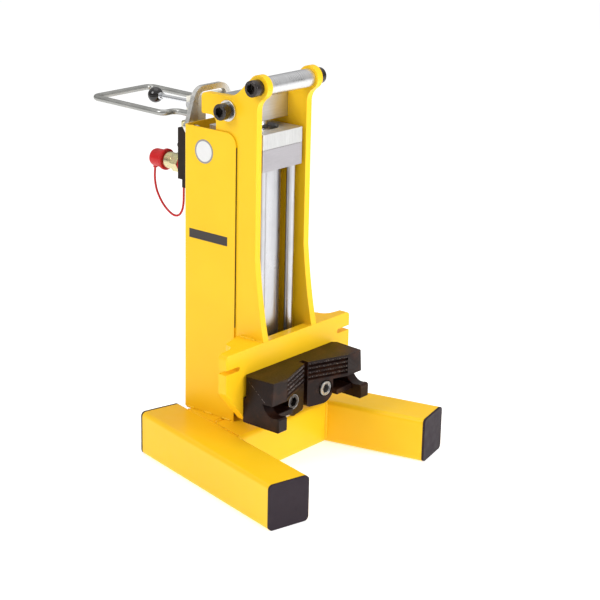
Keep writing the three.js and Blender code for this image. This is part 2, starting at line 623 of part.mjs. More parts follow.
function buildCouplings(base, caps) {
  const ring = sleeve(11.3, 18, GAP, 4.7, 28);
  const sides = [
    ['supply', (g) => alongY(g).translate(SUPPLY_X, VALVE.y1, PORT_Z), (d) => [SUPPLY_X, VALVE.y1 + d]],
    ['return', (g) => alongX(g).translate(VALVE.x1, RETURN_Y, PORT_Z), (d) => [VALVE.x1 + d, RETURN_Y]],
  ];
  for (const [name, place, spot] of sides) {
    add(base, `coupling_${name}`, place(hydraulicCoupling()), ZINC_YELLOW, 0.35, 0.8);
    add(base, `lanyard_ring_${name}`, place(ring), RED, 0.45);
    const [tailX, tailY] = spot(TAIL.out);
    const { half, foot } = TAIL;
    const tail = block(tailX - half, tailX + half, tailY - half, tailY + half, foot, PORT_Z - 12);
    add(caps[name], `dust_cap_${name}`, unite(place(dustCap()), tail), RED, 0.4);
    const route = LANYARD_ROUTE.map(([d, height]) => [...spot(d), height]);
    add(base, `lanyard_${name}`, smoothTube(route, CORD_R, 8, 32), RED, 0.4);
  }
}

function buildValve(base) {
  const { x0, x1, y0, y1, z0, z1, step } = VALVE;
  const bore = turned([
    [0, z0 - 5], [8.3, z0 - 5], [8.3, z1 - 13.7], [4.3, z1 - 13.7], [4.3, z1 + 5], [0, z1 + 5]], 24)
    .translate(LEVER.x, SPOOL_Y, 0);
  const casting = unite(block(x0, x1, y0, y1, z0, step), block(x0, x1, BRACKET.rear + GAP, y1, z0, z1));
  add(base, 'valve_body', cut(casting, bore), BLACK, 0.45, 0.2);
  const cup = block(x0 + 5, 10, SPOOL_Y - 17, SPOOL_Y + 13, z0 - 18, z0 - GAP);
  const well = rod(8.3, z0 - 14, z0 + 5, 24).translate(LEVER.x, SPOOL_Y, 0);
  add(base, 'valve_end_cap', cut(cup, well), BLACK, 0.45, 0.2);
  const plug = turned([[0, z1 + GAP], [9, z1 + GAP], [9, z1 + 11], [7.5, z1 + 13], [0, z1 + 13]], 24);
  add(base, 'valve_plug', moved(plug, -32.5, y1 - 10, 0), ZINC_YELLOW, 0.35, 0.8);
  const [springLow, springHigh, turns] = [z0 - 12.5, z0 + 12.5, 4];
  const coil = Array.from({ length: turns * 10 + 1 }, (_, i) => {
    const t = i / (turns * 10);
    const angle = t * turns * 2 * Math.PI;
    const height = springLow + (springHigh - springLow) * t;
    return [LEVER.x + 6 * Math.cos(angle), SPOOL_Y + 6 * Math.sin(angle), height];
  });
  add(base, 'centring_spring', smoothTube(coil, 0.9, 6, turns * 10), STEEL, 0.3, 0.9);
}

function buildPipes(base) {
  const [[upX, upZ], [lowX, lowZ]] = PIPE_PORTS;
  const start = COVER.rear - GAP;
  const end = AXIS_Y + BLOCK.halfY + GAP;
  const lowPortZ = 128;
  add(base, 'pipe_upper', alongY(rod(5, end, start, 16)).translate(upX, 0, upZ), ZINC, 0.3, 0.9);
  const corners = [[lowX, start, lowZ], [lowX, 86, lowZ], [lowX, 86, lowPortZ], [lowX, end, lowPortZ]];
  add(base, 'pipe_lower', bentTube(corners, 10, 5, 10), ZINC, 0.3, 0.9);
}

// ---- assembly: one group for each body that moves as one ----
const base = new THREE.Group();
const lift = new THREE.Group();
const yoke = new THREE.Group();
const lever = new THREE.Group();
const spool = new THREE.Group();
const caps = { supply: new THREE.Group(), return: new THREE.Group() };

base.add(leg(-1, 'left'), leg(1, 'right'));
add(base, 'cross_tube_front', crossTube(-(TUBE + GAP) / 2, 150), YELLOW);
add(base, 'cross_tube_rear', crossTube((TUBE + GAP) / 2, 140), YELLOW);
add(base, 'column_cover', columnCover(), YELLOW);
buildCylinder(base);
buildLift(lift);
buildYoke(yoke);
buildHandle(base);
buildValve(base);
buildLever(base, lever, spool);
buildCouplings(base, caps);
buildPipes(base);

const part = new THREE.Group();
const machine = new THREE.Group();
machine.add(base, lift, yoke, lever, spool, caps.supply, caps.return);
const frontReach = LEG_FRONT[1] - TUBE / 2 * Math.sin(SPLAY);
machine.position.y = -(frontReach + HANDLE.endY + HANDLE.r) / 2;
part.add(machine);

export default part;
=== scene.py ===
"""Looks of a hydraulic post puller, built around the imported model.

Metres, +Z up, the jaw faces -Y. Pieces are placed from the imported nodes' boxes and by lengths in the
part's own frame.
"""

import json
import math
import random

import bmesh
import bpy
from mathutils import Matrix, Vector


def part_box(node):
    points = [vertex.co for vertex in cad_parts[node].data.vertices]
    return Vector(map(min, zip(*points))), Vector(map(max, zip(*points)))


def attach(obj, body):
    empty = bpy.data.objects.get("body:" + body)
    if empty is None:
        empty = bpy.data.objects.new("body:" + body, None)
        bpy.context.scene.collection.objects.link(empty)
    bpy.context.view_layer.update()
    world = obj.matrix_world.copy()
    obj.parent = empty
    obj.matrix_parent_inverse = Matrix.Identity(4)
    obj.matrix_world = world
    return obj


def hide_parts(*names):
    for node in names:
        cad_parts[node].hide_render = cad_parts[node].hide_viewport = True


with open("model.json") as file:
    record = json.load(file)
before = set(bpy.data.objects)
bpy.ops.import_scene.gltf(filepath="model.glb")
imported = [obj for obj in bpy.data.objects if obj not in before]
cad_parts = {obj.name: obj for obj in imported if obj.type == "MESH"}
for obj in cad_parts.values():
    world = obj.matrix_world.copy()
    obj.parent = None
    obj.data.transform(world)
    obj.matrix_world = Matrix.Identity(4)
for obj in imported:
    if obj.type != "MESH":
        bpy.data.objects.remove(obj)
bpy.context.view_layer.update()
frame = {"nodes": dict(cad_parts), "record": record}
NODES = frame["nodes"]
MM = 0.001
SIDES = ((-1, "left"), (1, "right"))


# ---- camera, floor and light ----
CAMERA_AT = Vector((-2.4197, -2.14120, 1.36006))
CAMERA_YAW = -0.882654
CAMERA_PITCH = 0.314223
CAMERA_ROLL = 0.022031
LENS = 103.32
SENSOR = 36.0
CLIP = (0.1, 50.0)

# brightness of the dome at the horizon and overhead, as light and in reflections
DOME_LIGHT = (0.286, 0.66)
DOME_REFLECTED = (0.06, 0.95)
# how high a direction points at the dome's two ends
DOME_SPAN = (-0.1, 0.9)

FLOOR_GLOW = 0.46
FLOOR_HALF = 30
FLOOR_DROP = 0.0005
# name, place, aim, width and depth, watts
LIGHTS = (
    ("key", (-2.3, 0.7, 2.3), (0, 0, 0.55), (1.3, 1.3), 33),
    ("front", (0.5, -3.0, 1.7), (0, 0, 0.35), (1.8, 1.4), 64),
    ("top", (0.3, 0.2, 3.2), (0, 0, 0.4), (2.0, 2.0), 12),
)
WHITE = (1, 1, 1, 1)


def in_scene(name, data):
    obj = bpy.data.objects.new(name, data)
    bpy.context.scene.collection.objects.link(obj)
    return obj


def make_camera():
    level = Matrix.Rotation(CAMERA_YAW, 3, "Z") @ Matrix.Rotation(math.pi / 2 - CAMERA_PITCH, 3, "X")
    turn = level @ Matrix.Rotation(CAMERA_ROLL, 3, "Z")
    data = bpy.data.cameras.new("camera")
    data.lens = LENS
    data.sensor_width = SENSOR
    data.clip_start, data.clip_end = CLIP
    camera = in_scene("camera", data)
    camera.matrix_world = Matrix.Translation(CAMERA_AT) @ turn.to_4x4()
    bpy.context.scene.camera = camera


def area_light(name, at, aim, size, power):
    data = bpy.data.lights.new(name, "AREA")
    data.shape = "RECTANGLE"
    data.size, data.size_y = size
    data.energy = power
    light = in_scene(name, data)
    light.location = at
    light.rotation_mode = "QUATERNION"
    light.rotation_quaternion = (Vector(aim) - Vector(at)).to_track_quat("-Z", "Y")


def make_world():
    """White behind the machine, a soft grey dome as light, and a steeper dome in reflections."""
    world = bpy.data.worlds.new("studio")
    world.use_nodes = True
    nodes, links = world.node_tree.nodes, world.node_tree.links
    height = nodes.new("ShaderNodeSeparateXYZ")
    links.new(nodes.new("ShaderNodeTexCoord").outputs["Generated"], height.inputs[0])

    def dome(horizon, zenith):
        rise = nodes.new("ShaderNodeMapRange")
        for socket, value in zip(("From Min", "From Max", "To Min", "To Max"), (*DOME_SPAN, horizon, zenith)):
            rise.inputs[socket].default_value = value
        links.new(height.outputs["Z"], rise.inputs["Value"])
        made = nodes.new("ShaderNodeBackground")
        made.inputs["Color"].default_value = WHITE
        links.new(rise.outputs["Result"], made.inputs["Strength"])
        return made.outputs[0]

    def pick(share, first, second):
        made = nodes.new("ShaderNodeMixShader")
        links.new(share, made.inputs["Fac"])
        links.new(first, made.inputs[1])
        links.new(second, made.inputs[2])
        return made.outputs[0]

    backdrop = nodes["Background"]
    backdrop.inputs["Color"].default_value = WHITE
    ray = nodes.new("ShaderNodeLightPath").outputs
    light = pick(ray["Is Glossy Ray"], dome(*DOME_LIGHT), dome(*DOME_REFLECTED))
    links.new(pick(ray["Is Camera Ray"], light, backdrop.outputs[0]), nodes["World Output"].inputs["Surface"])
    bpy.context.scene.world = world


def make_stage():
    bpy.context.scene.view_settings.view_transform = "Standard"
    make_world()
    mesh = bpy.data.meshes.new("floor")
    corners = [(a * FLOOR_HALF, b * FLOOR_HALF, 0) for a, b in ((-1, -1), (1, -1), (1, 1), (-1, 1))]
    mesh.from_pydata(corners, [], [(0, 1, 2, 3)])
    floor = in_scene("floor", mesh)
    floor.location.z = -FLOOR_DROP
    pale = Look("floor_white", (0.93, 0.93, 0.93), 0.9)
    pale.set("Emission Color", WHITE).set("Emission Strength", FLOOR_GLOW)
    mesh.materials.append(pale.material)
    for light in LIGHTS:
        area_light(*light)


# ---- materials: lengths in bumps are metres, and a noise's scale is in cells to the metre ----
# the values between which most of a noise texture lies
MOST = (0.3, 0.7)


class Look:
    """A Principled material and short calls to build its nodes."""

    def __init__(self, name, colour, roughness, metallic=0.0):
        self.material = bpy.data.materials.new(name)
        self.material.use_nodes = True
        self.nodes = self.material.node_tree.nodes
        self.links = self.material.node_tree.links
        self.shader = self.nodes["Principled BSDF"]
        self.set("Base Color", (*colour, 1))
        self.set("Roughness", roughness)
        self.set("Metallic", metallic)
        self.where = None

    def set(self, socket, value):
        self.shader.inputs[socket].default_value = value
        return self

    def node(self, kind, **settings):
        made = self.nodes.new("ShaderNode" + kind)
        for key, value in settings.items():
            setattr(made, key, value)
        return made

    def join(self, source, target):
        self.links.new(source, target)

    def coordinates(self, stretch=(1, 1, 1)):
        if self.where is None:
            self.where = self.node("TexCoord").outputs["Object"]
        mapping = self.node("Mapping")
        mapping.inputs["Scale"].default_value = stretch
        self.join(self.where, mapping.inputs["Vector"])
        return mapping.outputs["Vector"]

    def noise(self, scale, detail=3.0, stretch=(1, 1, 1), roughness=0.5):
        noise = self.node("TexNoise")
        noise.inputs["Scale"].default_value = scale
        noise.inputs["Detail"].default_value = detail
        noise.inputs["Roughness"].default_value = roughness
        self.join(self.coordinates(stretch), noise.inputs["Vector"])
        return noise.outputs["Fac"]

    def cells(self, scale):
        cells = self.node("TexVoronoi")
        cells.inputs["Scale"].default_value = scale
        self.join(self.coordinates(), cells.inputs["Vector"])
        return cells.outputs["Distance"]

    def spread(self, value, low, high, out_low=0.0, out_high=1.0):
        """A value's range from low to high stretched to another range, and held at its ends."""
        spread = self.node("MapRange")
        spread.inputs["From Min"].default_value = low
        spread.inputs["From Max"].default_value = high
        spread.inputs["To Min"].default_value = out_low
        spread.inputs["To Max"].default_value = out_high
        self.join(value, spread.inputs["Value"])
        return spread.outputs["Result"]

    def math(self, operation, first, second):
        made = self.node("Math", operation=operation)
        for value, socket in ((first, made.inputs[0]), (second, made.inputs[1])):
            if isinstance(value, float):
                socket.default_value = value
            else:
                self.join(value, socket)
        return made.outputs[0]

    def mix(self, share, first, second):
        made = self.node("Mix", data_type="RGBA")
        self.join(share, made.inputs["Factor"])
        for value, socket in ((first, made.inputs[6]), (second, made.inputs[7])):
            if isinstance(value, tuple):
                socket.default_value = (*value, 1)
            else:
                self.join(value, socket)
        return made.outputs[2]

    def colour(self, value):
        self.join(value, self.shader.inputs["Base Color"])
        return self

    def rough(self, value):
        self.join(value, self.shader.inputs["Roughness"])
        return self

    def patchy(self, scale, low, high):
        """Roughness that drifts between two values in patches."""
        return self.rough(self.spread(self.noise(scale), *MOST, low, high))

    def bump(self, *layers):
        """Each layer is (height, depth in metres)."""
        normal = None
        for height, depth in layers:
            made = self.node("Bump")
            made.inputs["Strength"].default_value = 1.0
            made.inputs["Distance"].default_value = depth
            self.join(height, made.inputs["Height"])
            if normal is not None:
                self.join(normal, made.inputs["Normal"])
            normal = made.outputs["Normal"]
        self.join(normal, self.shader.inputs["Normal"])
        return self


def powder_coat():
    look = Look("powder_coat_yellow", (0.95, 0.59, 0.012), 0.34)
    look.set("Specular IOR Level", 0.22).set("Coat Weight", 0.06).set("Coat Roughness", 0.1)
    drift = look.spread(look.noise(6.0, 2.0), *MOST)
    look.colour(look.mix(drift, (0.925, 0.545, 0.010), (0.970, 0.585, 0.014)))
    look.patchy(40.0, 0.32, 0.42)
    return look.bump((look.noise(520.0, 2.0), 0.00002), (look.noise(14.0, 1.0), 0.00012)).material


def moulded_black():
    look = Look("moulded_black", (0.022, 0.014, 0.020), 0.6)
    look.set("Specular IOR Level", 0.2)
    look.patchy(60.0, 0.54, 0.66)
    look.colour(look.mix(look.noise(25.0), (0.018, 0.011, 0.016), (0.029, 0.019, 0.026)))
    return look.bump((look.noise(1400.0, 2.0), 0.00004)).material


def ground_steel(name, tone, stretch, low=0.30, high=0.46, depth=0.000012):
    """Steel with fine straight scratches along the axis that stretch leaves small."""
    look = Look(name, tone, 0.36, 1.0)
    lines = look.noise(1.0, 5.0, stretch, 0.7)
    cloud = look.noise(26.0, 4.0)
    look.rough(look.spread(look.math("ADD", lines, cloud), 0.7, 1.3, low, high))
    dark = tuple(0.86 * c for c in tone)
    light = tuple(min(1.0, 1.08 * c) for c in tone)
    streaks = look.mix(look.spread(lines, *MOST), dark, light)
    worn = tuple(0.80 * c for c in tone)
    look.colour(look.mix(look.spread(cloud, 0.5, 0.85, 0.0, 0.6), streaks, worn))
    return look.bump((lines, depth)).material


def gunmetal():
    look = Look("gunmetal", (0.13, 0.15, 0.19), 0.42, 0.9)
    look.colour(look.mix(look.noise(35.0, 4.0), (0.20, 0.21, 0.24), (0.38, 0.39, 0.41)))
    return look.bump((look.noise(300.0), 0.00004)).material


def black_oxide():
    look = Look("black_oxide", (0.030, 0.024, 0.022), 0.26, 0.65)
    look.set("Coat Weight", 0.3).set("Coat Roughness", 0.12)
    look.colour(look.mix(look.noise(90.0), (0.018, 0.014, 0.013), (0.052, 0.042, 0.038)))
    look.patchy(140.0, 0.2, 0.34)
    return look.bump((look.noise(700.0), 0.00002)).material


def phosphated_jaw():
    look = Look("phosphated_jaw", (0.012, 0.006, 0.005), 0.36)
    look.set("Specular IOR Level", 0.17)
    grain = look.noise(260.0, 5.0, roughness=0.65)
    blotch = look.noise(34.0, 4.0)
    dark = look.mix(look.spread(grain, *MOST), (0.0055, 0.0016, 0.0012), (0.014, 0.0046, 0.0030))
    rust = look.spread(blotch, 0.48, 0.72, 0.0, 0.8)
    look.colour(look.mix(rust, dark, (0.042, 0.014, 0.006)))
    look.rough(look.spread(grain, *MOST, 0.30, 0.46))
    return look.bump((grain, 0.00006), (look.noise(900.0), 0.00003)).material


def rubbed_steel_and_highlight():
    """Phosphate worn through to grey steel on the gripping edges; also the bright line of painted highlight
    on the jaw's cheeks.
    """
    look = Look("rubbed_steel_and_highlight", (0.09, 0.07, 0.06), 0.4, 0.7)
    bare = look.spread(look.noise(320.0, 4.0), 0.42, 0.72)
    look.colour(look.mix(bare, (0.012, 0.006, 0.005), (0.22, 0.19, 0.18)))
    return look.bump((look.noise(800.0), 0.00003)).material


def worn_steel():
    look = Look("worn_steel", (0.40, 0.40, 0.41), 0.34, 1.0)
    look.colour(look.mix(look.noise(120.0, 4.0), (0.26, 0.26, 0.27), (0.66, 0.66, 0.65)))
    return look.bump((look.noise(400.0), 0.00003)).material


def zinc(name, tone, roughness, spangle_share):
    """Zinc plate, cloudy and with a share of small crystals."""
    look = Look(name, tone, roughness, 0.95)
    cloud = look.noise(30.0, 3.0)
    both = look.math("ADD", look.math("MULTIPLY", look.cells(160.0), spangle_share), cloud)
    dark = tuple(0.8 * c for c in tone)
    look.colour(look.mix(look.spread(both, 0.4, 1.0), dark, tone))
    look.rough(look.spread(cloud, *MOST, roughness - 0.05, roughness + 0.07))
    return look.bump((look.noise(500.0), 0.00002)).material


def satin_black():
    look = Look("satin_black", (0.016, 0.010, 0.007), 0.42)
    look.set("Specular IOR Level", 0.16)
    look.colour(look.mix(look.noise(80.0, 4.0), (0.010, 0.006, 0.004), (0.028, 0.017, 0.011)))
    return look.bump((look.noise(600.0, 3.0), 0.00006)).material


def cast_beige():
    look = Look("cast_beige", (0.80, 0.77, 0.68), 0.5, 0.1)
    look.colour(look.mix(look.noise(60.0, 4.0), (0.74, 0.71, 0.61), (0.88, 0.85, 0.76)))
    return look.bump((look.noise(900.0, 3.0), 0.00005)).material


def phenolic_black():
    look = Look("phenolic_black", (0.006, 0.004, 0.004), 0.12)
    look.set("Coat Weight", 0.3).set("Coat Roughness", 0.05)
    look.patchy(50.0, 0.08, 0.14)
    return look.bump((look.noise(60.0), 0.00003)).material


def yellow_passivate():
    look = Look("yellow_passivate", (0.74, 0.62, 0.30), 0.28, 1.0)
    warm = look.mix(look.spread(look.noise(70.0, 3.0), 0.35, 0.6), (0.80, 0.68, 0.34), (0.62, 0.58, 0.34))
    look.colour(look.mix(look.spread(look.noise(110.0), 0.52, 0.8), warm, (0.74, 0.48, 0.32)))
    look.patchy(200.0, 0.22, 0.32)
    return look.bump((look.noise(800.0), 0.00002)).material


def red_vinyl():
    look = Look("red_vinyl", (0.50, 0.010, 0.012), 0.36)
    look.set("Specular IOR Level", 0.34)
    look.set("Subsurface Weight", 0.05).set("Subsurface Radius", (0.004, 0.0008, 0.0006))
    look.colour(look.mix(look.noise(40.0), (0.46, 0.006, 0.008), (0.60, 0.011, 0.013)))
    look.patchy(90.0, 0.30, 0.42)
    return look.bump((look.noise(900.0), 0.00003)).material


def flat_colour(name, tone):
    look = Look(name, tone, 0.45)
    soft = tuple(0.85 * c for c in tone)
    look.colour(look.mix(look.noise(60.0), soft, tone))
    return look.bump((look.noise(700.0), 0.00001)).material


def make_looks():
    return {
        "yellow_paint": powder_coat(),
        "black_plastic": moulded_black(),
        "machined_steel": ground_steel("ground_steel", (0.58, 0.58, 0.58), (1400, 1400, 18)),
        "steel_across": ground_steel("ground_steel_across", (0.60, 0.60, 0.59), (18, 1400, 1400)),
        "flange_steel": ground_steel("milled_flange", (0.64, 0.64, 0.63), (420, 420, 30), 0.36, 0.60, 0.0001),
        "head_steel": ground_steel("brushed_head", (0.46, 0.44, 0.46), (30, 30, 1600), 0.30, 0.42, 0.000006),
        "turned_steel": ground_steel("turned_tube", (0.72, 0.72, 0.73), (900, 14, 14), 0.24, 0.38, 0.00002),
        "honed_steel": ground_steel("drawn_steel", (0.50, 0.50, 0.52), (900, 900, 8), 0.24, 0.36),
        "chromed_rod": ground_steel("hard_chrome", (0.70, 0.71, 0.73), (300, 300, 900), 0.07, 0.16, 0.000004),
        "dark_steel": gunmetal(),
        "zinc_plate": zinc("zinc_grey", (0.74, 0.73, 0.70), 0.27, 0.6),
        "zinc_bright": zinc("zinc_polished", (0.42, 0.42, 0.40), 0.34, 0.1),
        "black_screw": black_oxide(),
        "jaw_steel": phosphated_jaw(),
        "rubbed_steel_and_highlight": rubbed_steel_and_highlight(),
        "worn_steel": worn_steel(),
        "black_casting": satin_black(),
        "lever_block_metal": cast_beige(),
        "knob_black": phenolic_black(),
        "yellow_zinc": yellow_passivate(),
        "red_vinyl": red_vinyl(),
        # a dark print colour, also put on pieces of painted shade in the cover gaps and the screw sockets
        "print_dark": flat_colour("print_dark", (0.030, 0.022, 0.018)),
        "print_white": flat_colour("print_white", (0.80, 0.80, 0.79)),
        "print_grey": flat_colour("print_grey", (0.30, 0.30, 0.31)),
    }


LOOKS = make_looks()


# ---- the CAD nodes: rounded edges and smooth shading by modifiers, and a finish each ----
MERGE_DISTANCE = 0.00001
# degrees: edges that bend less are shaded smooth, dissolved as flat, and left unbevelled
SMOOTH_ANGLE = 36
FLAT_ANGLE = 0.6
BEVEL_ANGLE = 32
EDGE_BY_SLOT = {
    "yellow_paint": 0.0009, "black_plastic": 0.0014, "machined_steel": 0.0008, "honed_steel": 0.0004,
    "chromed_rod": 0.0004, "dark_steel": 0.0006, "zinc_plate": 0.0007, "black_screw": 0.0006,
    "jaw_steel": 0.0009, "black_casting": 0.0012, "lever_block_metal": 0.0010, "knob_black": 0.0,
    "yellow_zinc": 0.0003, "red_vinyl": 0.0006,
}
LOOK_BY_NODE = {
    "loop_handle": "zinc_bright", "crosshead": "steel_across", "jaw_screw_right": "worn_steel",
    "gland_flange": "flange_steel", "jaw_screw_left": "black_screw", "cylinder_head": "head_steel",
    "spacer_tube": "turned_steel",
}
UNBEVELLED = ("loop_handle", "control_knob", "centring_spring", "pipe_lower", "pipe_upper")


def smoothing():
    """Geometry nodes that join doubled corners, drop stored normals and shade smooth up to an angle."""
    group = bpy.data.node_groups.new("shade_by_angle", "GeometryNodeTree")
    for way in ("INPUT", "OUTPUT"):
        group.interface.new_socket("Geometry", in_out=way, socket_type="NodeSocketGeometry")
    nodes, links = group.nodes, group.links
    source = nodes.new("NodeGroupInput")
    drop = nodes.new("GeometryNodeRemoveAttribute")
    drop.inputs["Name"].default_value = "custom_normal"
    merge = nodes.new("GeometryNodeMergeByDistance")
    merge.inputs["Distance"].default_value = MERGE_DISTANCE
    faces = nodes.new("GeometryNodeSetShadeSmooth")
    edges = nodes.new("GeometryNodeSetShadeSmooth")
    edges.domain = "EDGE"
    bend = nodes.new("GeometryNodeInputMeshEdgeAngle")
    flat = nodes.new("FunctionNodeCompare")
    flat.operation = "LESS_THAN"
    flat.inputs["B"].default_value = math.radians(SMOOTH_ANGLE)
    sink = nodes.new("NodeGroupOutput")
    links.new(source.outputs[0], drop.inputs["Geometry"])
    links.new(drop.outputs[0], merge.inputs["Geometry"])
    links.new(merge.outputs[0], faces.inputs["Geometry"])
    links.new(faces.outputs[0], edges.inputs["Geometry"])
    links.new(bend.outputs["Unsigned Angle"], flat.inputs["A"])
    links.new(flat.outputs[0], edges.inputs["Shade Smooth"])
    links.new(edges.outputs[0], sink.inputs[0])
    return group


SMOOTH = smoothing()


def round_edges(obj, width):
    """Bevelled edges and smooth faces, all by modifiers, so the mesh itself stays as it is."""
    obj.modifiers.new("clean", "NODES").node_group = SMOOTH
    flatten = obj.modifiers.new("flatten", "DECIMATE")
    flatten.decimate_type = "DISSOLVE"
    flatten.angle_limit = math.radians(FLAT_ANGLE)
    if width:
        bevel = obj.modifiers.new("bevel", "BEVEL")
        bevel.width = width
        bevel.segments = 3
        bevel.limit_method = "ANGLE"
        bevel.angle_limit = math.radians(BEVEL_ANGLE)
        bevel.miter_outer = "MITER_ARC"
        bevel.use_clamp_overlap = True
    obj.modifiers.new("shade", "NODES").node_group = SMOOTH
    obj.modifiers.new("normals", "WEIGHTED_NORMAL").keep_sharp = True


def finish_nodes():
    """Every CAD node's look and its edge rounding."""
    for row in frame["record"]["subparts"]:
        name, slot = row["node"], row["material_slot"]
        node = NODES[name]
        node.data.materials.clear()
        node.data.materials.append(LOOKS[LOOK_BY_NODE.get(name, slot)])
        round_edges(node, 0.0 if name in UNBEVELLED else EDGE_BY_SLOT[slot])


# ---- lanyards and the handle: round bars along a line ----
# the lanyard's line from the cap's tail to the ring, as distance out of the port and height, in millimetres
LANYARD = (
    (81, 545.2), (82, 534), (81.4, 518), (76, 498), (62, 477), (46, 463.5), (30, 456.5), (16.5, 459),
    (7.6, 470), (3.6, 486), (2.9, 505), (2.7, 525), (2.6, 540), (2.6, 548.7),
)
SPAN_STEPS = 3
CORD = 0.0045
RING_GAP = 0.0003

BAR_RADIUS = 0.006
BAR_BEND = 0.016
BEND_STEPS = 10
# half the handle's width at its wall end and at its loop, the length of its wall end, and its height at both
HANDLE_INNER, HANDLE_OUTER = 0.046, 0.080
HANDLE_JOG = 0.0447
HANDLE_Z, HANDLE_END_Z = 0.674, 0.678


def round_bar(name, points, radius, resolution, look):
    """A bar or cord of round section along points, as a curve."""
    curve = bpy.data.curves.new(name, "CURVE")
    curve.dimensions = "3D"
    spline = curve.splines.new("POLY")
    spline.points.add(len(points) - 1)
    for target, point in zip(spline.points, points):
        target.co = (*point, 1)
    curve.bevel_depth = radius
    curve.bevel_resolution = resolution
    curve.use_fill_caps = True
    curve.materials.append(LOOKS[look])
    return in_scene(name, curve)


def through(points):
    """Points on a smooth curve through the given ones."""
    ends = [2 * points[0] - points[1], *points, 2 * points[-1] - points[-2]]
    made = []
    for a, b, c, d in zip(ends, ends[1:], ends[2:], ends[3:]):
        for k in range(SPAN_STEPS):
            t = k / SPAN_STEPS
            made.append(0.5 * (2 * b + (c - a) * t + (2 * a - 5 * b + 4 * c - d) * t * t
                               + (3 * b - a - 3 * c + d) * t * t * t))
    return [*made, points[-1]]


def lanyard(side, line):
    points = through(line)
    cord = round_bar(f"lanyard_cord_{side}", points, CORD / 2, 4, "red_vinyl")
    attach(cord, "base")
    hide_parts(f"lanyard_{side}")


def make_lanyards():
    route = [(out * MM, height * MM) for out, height in reversed(LANYARD)]
    low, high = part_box("lanyard_ring_supply")
    x, y = (low[0] + high[0]) / 2, low[1] - RING_GAP
    lanyard("supply", [Vector((x, y + out, height)) for out, height in route])
    low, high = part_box("lanyard_ring_return")
    x, y = low[0] - RING_GAP, (low[1] + high[1]) / 2
    lanyard("return", [Vector((x + out, y, height)) for out, height in route])


def mirrored(points):
    return [(-x, y, z) for x, y, z in points]


def bent(corners):
    """Straight runs joined by parabolic bends of one size."""
    made = [corners[0]]
    for before, at, after in zip(corners, corners[1:], corners[2:]):
        start = at + (before - at).normalized() * BAR_BEND
        end = at + (after - at).normalized() * BAR_BEND
        for k in range(BEND_STEPS + 1):
            t = k / BEND_STEPS
            made.append((1 - t) ** 2 * start + 2 * t * (1 - t) * at + t * t * end)
    return [*made, corners[-1]]


def make_handle():
    """The loop handle as a true round bar along the CAD bar's own corners."""
    (_, start, _), (_, far, _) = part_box("loop_handle")
    jog = start + HANDLE_JOG
    half = [(HANDLE_INNER, start, HANDLE_Z), (HANDLE_INNER, jog, HANDLE_Z), (HANDLE_OUTER, jog, HANDLE_Z),
            (HANDLE_OUTER, far - BAR_RADIUS, HANDLE_END_Z)]
    corners = [Vector(p) for p in mirrored(half) + half[::-1]]
    bar = round_bar("handle_bar", bent(corners), BAR_RADIUS, 6, "zinc_bright")
    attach(bar, "base")
    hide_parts("loop_handle")


# ---- pieces that the CAD leaves out: shared shapes ----
BOX_FACES = ((0, 1, 3, 2), (4, 6, 7, 5), (0, 4, 5, 1), (2, 3, 7, 6), (0, 2, 6, 4), (1, 5, 7, 3))
RING_SIDES = 64
SCREW_SIDES = 24
# how far a ring and a screw head reach into the face that they stand on
RING_SUNK = 0.0002
SCREW_SUNK = 0.0004


def place(name, verts, faces, body, slot, look=None, edge=0.0):
    """A mesh piece riding on a body, with the finish of its slot unless another look is named."""
    mesh = bpy.data.meshes.new(name)
    mesh.from_pydata([tuple(v) for v in verts], [], faces)
    work = bmesh.new()
    work.from_mesh(mesh)
    bmesh.ops.recalc_face_normals(work, faces=work.faces)
    work.to_mesh(mesh)
    work.free()
    mesh.materials.append(LOOKS[look or slot])
    obj = in_scene(name, mesh)
    round_edges(obj, edge)
    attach(obj, body)


def skin(rings, joined=False):
    """Faces between rings of one size, with both ends capped or the last ring joined to the first."""
    count = len(rings[0])
    last = (len(rings) - 1) * count
    verts = [v for ring in rings for v in ring]
    faces = []
    for k in range(len(rings) - 1):
        for i in range(count):
            j = (i + 1) % count
            faces.append((k * count + i, k * count + j, (k + 1) * count + j, (k + 1) * count + i))
    if joined:
        faces += [(last + i, last + (i + 1) % count, (i + 1) % count, i) for i in range(count)]
    else:
        faces.append(tuple(reversed(range(count))))
        faces.append(tuple(last + i for i in range(count)))
    return verts, faces


def shifted(faces, first):
    return [tuple(first + i for i in face) for face in faces]


def upright(axis):
    """A turn that takes +Z to the given axis."""
    return Vector((0, 0, 1)).rotation_difference(Vector(axis)).to_matrix()


def circle(radius, height, count):
    angles = [2 * math.pi * i / count for i in range(count)]
    return [Vector((radius * math.cos(a), radius * math.sin(a), height)) for a in angles]


def hexagon(flat, height, count):
    """A hexagon with as many points as the circle that it joins; flat is half its width."""
    made = []
    for i in range(count):
        angle = 2 * math.pi * i / count
        off = (angle + math.pi / 6) % (math.pi / 3) - math.pi / 6
        size = flat / math.cos(off)
        made.append(Vector((size * math.cos(angle), size * math.sin(angle), height)))
    return made


def stand(rings, at, axis):
    """Rings drawn about +Z, moved to stand on a point along an axis."""
    turn = upright(axis)
    return [[Vector(at) + turn @ point for point in ring] for ring in rings]


def turned_screw(name, at, axis, head, height, body, slot):
    """A small socket head screw of a head radius and height, standing on a face."""
    flat = head * 0.5
    rings = [circle(head, -SCREW_SUNK, SCREW_SIDES), circle(head, height * 0.9, SCREW_SIDES),
             circle(head * 0.9, height, SCREW_SIDES), hexagon(flat * 1.1, height, SCREW_SIDES),
             hexagon(flat, height * 0.93, SCREW_SIDES), hexagon(flat, height * 0.4, SCREW_SIDES)]
    place(name, *skin(stand(rings, at, axis)), body, slot)


